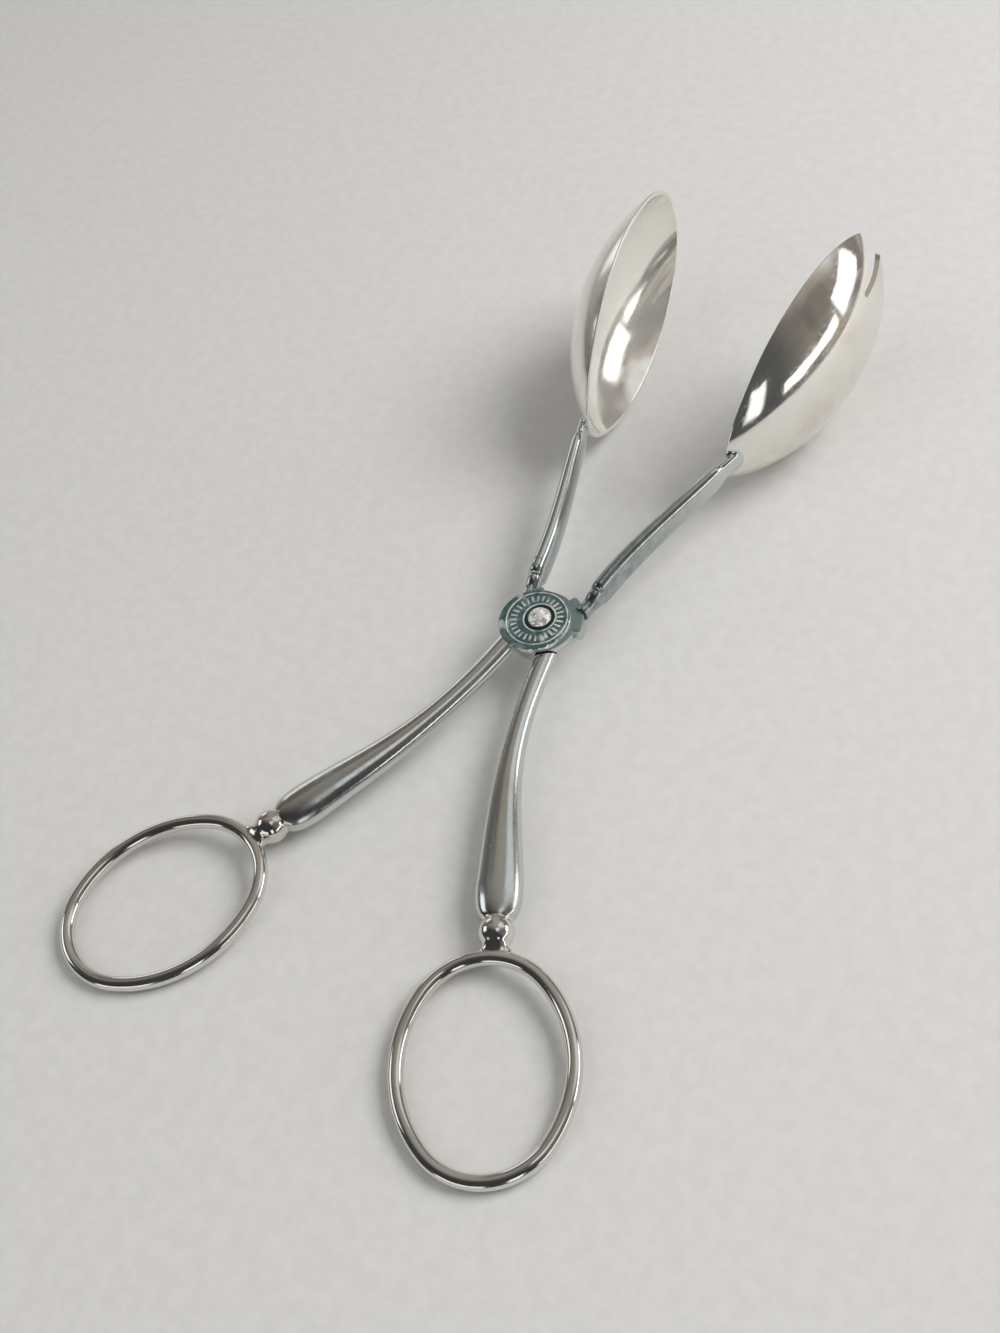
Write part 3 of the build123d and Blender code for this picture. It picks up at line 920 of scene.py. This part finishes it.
@dataclass
class PivotJoint:
    """The ornament disc and the hammered rivet in the middle of the tongs.

    Attributes:
        bench: The modelling moves.
        disc_radius: The disc's radius.
        disc_bottom: The height of its under side over the pivot.
        disc_top: The height of its flat face over the pivot.
        disc_offset: How far its middle lies off the rivet.
        rim_round: The round of its upper edge.
        bore_radius: The hole for the rivet.
        moat_radius: The edge of the sunk moat round the rivet's head.
        moat_depth: How deep the moat lies.
        line_radii: The radii of the two raised lines.
        line_half_width: Half a line's width.
        line_height: How far a line stands up.
        stroke_count: How many short strokes lie between the lines.
        stroke_length: A stroke's length.
        stroke_width: A stroke's width.
        stroke_rise: How far a fresh stroke stands up.
        stroke_round: The round of its edges.
        worn_turn: Where round the disc the strokes are worn most, as a share of a turn.
        worn_height: What share of its height the most worn stroke keeps.
        nick_turns: Where the rim is nicked, in degrees round the disc.
        nick_radius: The radius of a nick.
        nick_share: How far outside the rim the middle of a nick lies, as a share of its radius.
        nick_step: How much that share differs from nick to nick.
        rivet_radius: The radius of the rivet's pin.
        head_radius: The radius of the rivet's head.
        head_height: How far the head rises over its seat.
        head_gap: The clearance under the head.
        tail_radius: The radius of the peened tail.
        tail_height: How far the tail stands out below.
        blows: The hammer's dents in the head.
        rivet_grid: The grid that softens the rivet's dents.
        pieces: The finished pieces, the rivet last.
    """

    bench: Bench
    disc_radius: float = 8.9 * MM
    disc_bottom: float = 2.25 * MM
    disc_top: float = 3.55 * MM
    disc_offset: tuple[float, float] = (-0.9 * MM, 1.1 * MM)
    rim_round: float = 0.35 * MM
    bore_radius: float = 1.95 * MM
    moat_radius: float = 3.72 * MM
    moat_depth: float = 0.32 * MM
    line_radii: tuple[float, float] = (4.0 * MM, 7.6 * MM)
    line_half_width: float = 0.24 * MM
    line_height: float = 0.25 * MM
    stroke_count: int = 28
    stroke_length: float = 1.8 * MM
    stroke_width: float = 0.62 * MM
    stroke_rise: float = 0.25 * MM
    stroke_round: float = 0.17 * MM
    worn_turn: float = 0.09
    worn_height: float = 0.45
    nick_turns: tuple[float, ...] = (116.0, 148.0, 171.0, 186.0, 204.0, 219.0, 233.0, 250.0, 288.0, 14.0)
    nick_radius: float = 0.72 * MM
    nick_share: float = 0.40
    nick_step: float = 0.09
    rivet_radius: float = 1.9 * MM
    head_radius: float = 2.9 * MM
    head_height: float = 1.5 * MM
    head_gap: float = 0.08 * MM
    tail_radius: float = 2.8 * MM
    tail_height: float = 1.0 * MM
    blows: tuple[HammerBlow, ...] = (
        HammerBlow(140, 24, 1.7, 0.42),
        HammerBlow(318, 30, 1.3, 0.46),
        HammerBlow(28, 34, 1.2, 0.34),
        HammerBlow(230, 40, 2.6, 0.34),
        HammerBlow(85, 52, 2.0, 0.30),
        HammerBlow(282, 56, 1.6, 0.28),
        HammerBlow(180, 58, 1.4, 0.24),
        HammerBlow(0, 62, 1.3, 0.2),
    )
    rivet_grid: float = 0.07 * MM
    pieces: list[Piece] = field(default_factory=list)

    DISC_SIDES, BORE_SIDES, RIVET_SIDES = 160, 96, 96
    LINE_SIDES, LINE_SECTIONS = 128, 14
    RIM_STEPS, STROKE_STEPS = 5, 3
    HEAD_FOOT, HEAD_TURNS = 0.96, range(4, 89, 6)
    TAIL_TIP, TAIL_TURNS = 1 / 6, range(75, 0, -15)
    RIVET_ROUNDS = 2

    def place(self, share: float, height: float = 0.0) -> Vector:
        """A place between the rivet, at share 0, and the middle of the disc, at share 1."""
        return Vector((self.disc_offset[0] * share, self.disc_offset[1] * share, height))

    def build_disc(self) -> Piece:
        """Models the disc with its rounded, nicked rim and the moat round the rivet.

        Returns:
            The disc, in the row frame.
        """
        outer, top, low, turn = self.disc_radius, self.disc_top, self.disc_bottom, self.rim_round
        under = turn / 3
        profile = [(outer - under, low), (outer, low + under), (outer, top - turn)]
        for step in range(1, self.RIM_STEPS + 1):
            angle = 90 / self.RIM_STEPS * step
            profile.append((outer - turn * (1 - cosine(angle)), top - turn * (1 - sine(angle))))
        disc = self.bench.lathe("pivot_ornament_disc", profile, self.DISC_SIDES)
        disc.location = self.place(1)
        for radius, floor in ((self.moat_radius, top - self.moat_depth), (self.bore_radius, low - turn)):
            self.bench.clear()
            depth = top + turn - floor
            bpy.ops.mesh.primitive_cylinder_add(vertices=self.BORE_SIDES, radius=radius, depth=depth,
                                                location=(0, 0, floor + depth / 2))
            self.bench.cut(disc, bpy.context.active_object)
        for number, nick in enumerate(self.nick_turns):
            reach = outer + self.nick_radius * (self.nick_share + self.nick_step * (number % 3))
            edge = Vector((reach * cosine(nick), reach * sine(nick), top))
            self.bench.dent(disc, self.place(1) + edge, self.nick_radius)
        return self.bench.seat(disc)

    def build_lines(self) -> Piece:
        """Models the two raised lines, the inner one round the rivet.

        Returns:
            Both lines as one piece, in the row frame.
        """
        lines = []
        for radius, share in zip(self.line_radii, (0.0, 0.5)):
            self.bench.clear()
            middle = self.place(share, self.disc_top)
            bpy.ops.mesh.primitive_torus_add(major_radius=radius, minor_radius=self.line_half_width,
                                             major_segments=self.LINE_SIDES,
                                             minor_segments=self.LINE_SECTIONS, location=middle)
            rise = self.line_height / self.line_half_width
            with self.bench.editing():
                bpy.ops.mesh.select_all(action="SELECT")
                bpy.ops.transform.resize(value=(1, 1, rise), center_override=middle)
            lines.append(bpy.context.active_object)
        self.bench.pick(*lines)
        self.bench.settle()
        return self.bench.seat(self.bench.join(lines, "pivot_disc_lines"))

    def build_strokes(self) -> Piece:
        """Models one short raised stroke and copies it round the disc, more worn on one side.

        Returns:
            All the strokes as one piece, in the row frame.
        """
        bench = self.bench
        bench.clear()
        bpy.ops.mesh.primitive_cube_add(size=1.0, location=(sum(self.line_radii) / 2, 0, 0))
        first = bpy.context.active_object
        first.scale = (self.stroke_length, self.stroke_width, 2 * self.stroke_rise)
        bench.settle()
        bench.modify(first, "BEVEL", width=self.stroke_round, segments=self.STROKE_STEPS,
                     limit_method="NONE")
        strokes = [first, *(bench.twin(first) for _ in range(1, self.stroke_count))]
        for number, stroke in enumerate(strokes):
            turn = number / self.stroke_count
            fresh = 0.5 - 0.5 * math.cos(math.tau * (turn - self.worn_turn))
            stroke.rotation_euler = (0, 0, math.tau * turn)
            stroke.scale = (1, 1, self.worn_height + (1 - self.worn_height) * fresh)
            stroke.location = self.place(0.5, self.disc_top)
        bench.pick(*strokes)
        bench.settle()
        return bench.seat(bench.join(strokes, "pivot_disc_strokes"))

    def build_rivet(self) -> Piece:
        """Turns the rivet and hammers dents into its head.

        Returns:
            The rivet, in the row frame.
        """
        seat, low = self.disc_top + self.head_gap, -self.disc_bottom
        profile = [(self.tail_radius * self.TAIL_TIP, low - self.tail_height)]
        for angle in self.TAIL_TURNS:
            profile.append((self.tail_radius * cosine(angle), low - self.tail_height * sine(angle)))
        profile += [(self.tail_radius, low), (self.rivet_radius, low), (self.rivet_radius, seat),
                    (self.head_radius * self.HEAD_FOOT, seat)]
        for angle in self.HEAD_TURNS:
            profile.append((self.head_radius * cosine(angle), seat + self.head_height * sine(angle)))
        rivet = self.bench.lathe("pivot_rivet_hammered", profile, self.RIVET_SIDES)
        for blow in self.blows:
            out = Vector((sine(blow.lean) * cosine(blow.turn), sine(blow.lean) * sine(blow.turn),
                          cosine(blow.lean)))
            face = Vector((self.head_radius * out.x, self.head_radius * out.y,
                           seat + self.head_height * out.z))
            self.bench.dent(rivet, face + out * (blow.radius - blow.depth) * MM, blow.radius * MM)
        self.bench.modify(rivet, "REMESH", mode="VOXEL", voxel_size=self.rivet_grid)
        self.bench.modify(rivet, "SMOOTH", factor=SMOOTH_FACTOR, iterations=self.RIVET_ROUNDS)
        return self.bench.seat(rivet)

    def build(self) -> None:
        """Models the four pieces and lets them ride."""
        disc, lines, strokes = self.build_disc(), self.build_lines(), self.build_strokes()
        rivet = self.build_rivet()
        for piece in (disc, lines, strokes):
            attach(piece, Arm.UPPER.body)
            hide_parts("pivot_disc")
        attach(rivet, Arm.LOWER.body)
        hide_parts("pivot_rivet")
        self.pieces = [disc, lines, strokes, rivet]

    def dress(self) -> None:
        """Gives the pieces their finishes, the rivet silver and the others aged plate."""
        *ornaments, rivet = self.pieces
        moat_level = self.disc_top - self.moat_depth
        aged = AgedDiscFinish("aged_plate", self.disc_top, moat_level).build(self.bench.pivot)
        for piece in ornaments:
            coat(piece, aged)
        coat(rivet, RIVET_PLATE.build(self.bench.pivot))


@dataclass(frozen=True)
class ArmPlates:
    """The materials of one arm.

    Attributes:
        ring: The plain silver plate of the finger ring and the bead.
        handle: The hand-worn plate of the handle.
        shank: The cooler plate of shank and heel, with patina near the pivot.
        hub: The plate of the hub, with teal on top: patina and a painted reflection of the dark teal
            overhead.
        bowl: The smeared and tarnished plate of the bowl.
    """

    ring: Material
    handle: Material
    shank: Material
    hub: Material
    bowl: Material


@dataclass
class TongArm:
    """One soldered arm: ring, collar, bead, handle, hub, shank, heel and bowl.

    Attributes:
        arm: Which of the two arms it is.
        bench: The modelling moves.
        bead: How the bead is melted into handle and ring.
        heel: How the heel is melted into shank and bowl.
        joints: The melted pieces, the bead first.
    """

    arm: Arm
    bench: Bench
    bead: Solder = Solder(3.2 * MM, 0.3 * MM, 0.16 * MM, 8)
    heel: Solder = Solder(3.8 * MM, 0.8 * MM, 0.15 * MM, 12)
    joints: list[Piece] = field(default_factory=list)

    def name(self, part: str) -> str:
        """The node name of one of the arm's parts."""
        return f"{self.arm.title}_{part}"

    def build(self) -> None:
        """Models the soldered bead and heel and lets them ride."""
        ends = (self.name("handle"), self.name("finger_ring"))
        for title, parts, beside, melt in (
            ("soldered_bead", ("bead", "ring_collar"), ends, self.bead),
            ("soldered_heel", ("heel",), (self.name("shank"), self.arm.bowl), self.heel),
        ):
            kept = [self.name(part) for part in parts]
            piece = self.bench.solder(self.name(title), kept, beside, melt)
            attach(piece, self.arm.body)
            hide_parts(*kept)
            self.joints.append(piece)

    def dress(self, plates: ArmPlates) -> None:
        """Gives every part of the arm its silver plate.

        Args:
            plates: The arm's materials.
        """
        for name, plate in ((self.name("finger_ring"), plates.ring), (self.name("handle"), plates.handle),
                            (self.name("hub"), plates.hub), (self.name("shank"), plates.shank),
                            (self.arm.bowl, plates.bowl)):
            coat(frame["nodes"][name], plate)
        for piece, plate in zip(self.joints, (plates.ring, plates.shank)):
            coat(piece, plate)


@dataclass(frozen=True)
class Softbox:
    """One large soft lamp that lights the floor; the metal mirrors the window panels instead.

    Attributes:
        name: The lamp's name.
        towards: The direction from the tongs to the lamp.
        distance: How far away it stands, in metres.
        width: The lamp's width in metres.
        height: The lamp's height in metres.
        power: The lamp's power in watts.
        colour: The lamp's colour.
    """

    name: str
    towards: tuple[float, float, float]
    distance: float
    width: float
    height: float
    power: float
    colour: Colour

    def build(self) -> None:
        """Adds the lamp, turned to the tongs."""
        data = bpy.data.lights.new(self.name, "AREA")
        data.shape = "RECTANGLE"
        data.size, data.size_y = self.width, self.height
        data.energy = self.power
        data.color = self.colour
        lamp = bpy.data.objects.new(self.name, data)
        bpy.context.scene.collection.objects.link(lamp)
        way = Vector(self.towards).normalized()
        lamp.location = way * self.distance
        lamp.rotation_euler = (-way).to_track_quat("-Z", "Y").to_euler()
        lamp.visible_glossy = False


@dataclass(frozen=True)
class WindowPanel:
    """One soft-edged bright panel round the studio.

    Attributes:
        bearing: Its middle round the horizon, in degrees from +X to +Y.
        half_width: Half its width in degrees.
        low: Its lower edge over the horizon, in degrees.
        high: Its upper edge, in degrees.
        strength: How bright it is.
        colour: Its colour.
        soft: How soft its edges are, in degrees.
    """

    bearing: float
    half_width: float
    low: float
    high: float
    strength: float
    colour: Colour = (1.0, 0.99, 0.97)
    soft: float = 4.0

    def share(self, board: NodeBoard, way: Socket) -> Socket:
        """How much of the panel shows in one direction.

        Args:
            board: The world's node helper.
            way: The direction that is looked in.

        Returns:
            1 inside the panel, 0 outside, and a soft step between.
        """
        x, y, z = board.parts(way)
        ahead = board.plus(board.times(x, cosine(self.bearing)), board.times(y, sine(self.bearing)))
        facing = board.math("DIVIDE", ahead, board.most(board.off_axis(way), LEAST_REACH))
        wide = board.span(facing, Ramp(cosine(self.half_width + self.soft), cosine(self.half_width)))
        over = board.span(z, Ramp(sine(self.low - self.soft), sine(self.low)))
        under = board.span(z, Ramp(sine(self.high + self.soft), sine(self.high)))
        return board.times(wide, board.times(over, under))


@dataclass
class Studio:
    """The pale floor, the world with its window panels, and the soft lamps.

    Attributes:
        softboxes: The lamps.
        panels: The window panels.
        sky_near: The world's colour on the rings' side.
        sky_far: The world's colour on the bowls' side.
        sky_dim: The colour of the world's dim patches.
        wander_scale: How fine the bends in the mirrored world are.
        wander_reach: How far they go.
        floor_size: The floor's size in metres.
    """

    softboxes: tuple[Softbox, ...] = (
        Softbox("key_softbox", (0.55, -0.62, 0.80), 1.20, 0.80, 0.60, 13.0, (1.0, 0.99, 0.97)),
        Softbox("fill_softbox", (-0.60, 0.30, 0.90), 1.30, 1.20, 1.20, 5.0, (0.98, 0.99, 1.0)),
    )
    panels: tuple[WindowPanel, ...] = (
        WindowPanel(-86.0, 20.0, 8.0, 13.0, 2.2, soft=3.0),
        WindowPanel(-46.0, 13.0, 8.0, 24.0, 2.2, soft=3.0),
        WindowPanel(-24.0, 16.0, 38.0, 60.0, 0.75, (0.95, 0.99, 1.0), 10.0),
        WindowPanel(-84.0, 30.0, 68.0, 82.0, 0.85, (0.96, 0.99, 1.0), 8.0),
        WindowPanel(-132.0, 6.0, 9.0, 30.0, 1.3, (0.94, 0.98, 1.0), 3.0),
        WindowPanel(108.0, 11.0, 16.0, 34.0, 1.4, (0.96, 0.99, 1.0)),
        WindowPanel(62.0, 8.0, 6.0, 20.0, 1.1),
        WindowPanel(178.0, 20.0, 5.0, 18.0, 1.1),
    )
    sky_near: Colour = (0.042, 0.044, 0.045)
    sky_far: Colour = (0.375, 0.340, 0.303)
    sky_dim: Colour = (0.055, 0.055, 0.055)
    wander_scale: float = 5.5
    wander_reach: float = 0.07
    floor_size: float = 6.0

    SKY_TURN = Ramp(-0.42, 0.44)
    PATCHES = Mottle(1.8, Ramp(0.46, 0.62, 0.0, 0.62), detail=1.0, rough=0.45)

    def build_world(self) -> None:
        """Makes a calm world, darker on the rings' side, with soft window panels round the tongs."""
        world = bpy.data.worlds.new("studio_world")
        bpy.context.scene.world = world
        world.use_nodes = True
        board = NodeBoard(world.node_tree)
        way = board.add("TexCoord").outputs["Generated"]
        way = board.wander(way, self.wander_scale, self.wander_reach)
        ahead, _, _ = board.parts(way)
        colour = board.blend(board.span(ahead, self.SKY_TURN), self.sky_near, self.sky_far)
        colour = board.blend(board.mottle(way, self.PATCHES), colour, self.sky_dim)
        for panel in self.panels:
            bright = tuple(channel * panel.strength for channel in panel.colour)
            colour = board.blend(panel.share(board, way), colour, bright)
        sky = board.add("Background", {"Color": colour})
        board.add("OutputWorld", {"Surface": sky.outputs[0]})

    def build_floor(self) -> None:
        """Lays the pale floor under the tongs."""
        Bench.clear()
        bpy.ops.mesh.primitive_plane_add(size=self.floor_size, location=(0, 0, 0))
        floor = bpy.context.active_object
        floor.name = "floor"
        coat(floor, FloorFinish().build())

    def build(self) -> None:
        """Sets up the whole studio."""
        self.build_world()
        self.build_floor()
        for softbox in self.softboxes:
            softbox.build()


@dataclass
class PhotoCamera:
    """The camera at the photograph's viewing angle, in the tongs' own frame.

    Attributes:
        pivot: The tongs' own frame.
        place: The camera's place.
        right: The picture's right.
        up: The picture's up.
        lens: The focal length in millimetres.
        long_side: The sensor's long side in millimetres.
        clip: The nearest and the farthest thing that it sees, in metres.
    """

    pivot: PivotFrame
    place: tuple[float, float, float] = (-155.35 * MM, -152.86 * MM, 297.25 * MM)
    right: tuple[float, float, float] = (0.4916, -0.8446, -0.2122)
    up: tuple[float, float, float] = (0.7801, 0.3188, 0.5383)
    lens: float = 40.70
    long_side: float = 36.0
    clip: tuple[float, float] = (0.01, 50.0)

    def build(self) -> None:
        """Adds the camera and makes it the scene's."""
        data = bpy.data.cameras.new("photo_camera")
        data.lens = self.lens
        data.sensor_width = self.long_side
        data.sensor_fit = "AUTO"
        data.clip_start, data.clip_end = self.clip
        camera = bpy.data.objects.new("photo_camera", data)
        bpy.context.scene.collection.objects.link(camera)
        right = Vector(self.right).normalized()
        up = Vector(self.up)
        up = (up - right * up.dot(right)).normalized()
        turn = Matrix((right, up, right.cross(up))).transposed().to_4x4()
        camera.matrix_world = self.pivot.matrix @ Matrix.Translation(self.place) @ turn
        bpy.context.scene.camera = camera


def main() -> None:
    """Builds the camera, the studio and the tongs, in order."""
    logging.basicConfig(level=logging.INFO, format="%(message)s")
    pivot = PivotFrame.from_record(frame["joints"])
    bench = Bench(pivot)
    bpy.context.scene.view_settings.view_transform = "Standard"
    PhotoCamera(pivot).build()
    Studio().build()
    ring, handle, shank = (finish.build(pivot) for finish in (RING_PLATE, HANDLE_PLATE, SHANK_PLATE))
    for arm in Arm:
        tong = TongArm(arm, bench)
        tong.build()
        tong.dress(ArmPlates(ring, handle, shank, HUB_PLATES[arm].build(pivot),
                             BOWL_PLATES[arm].build(pivot)))
        LOG.info("the %s arm is finished", arm.title)
    joint = PivotJoint(bench)
    joint.build()
    joint.dress()
    LOG.info("the pivot joint is finished")


if __name__ == "__main__":
    main()
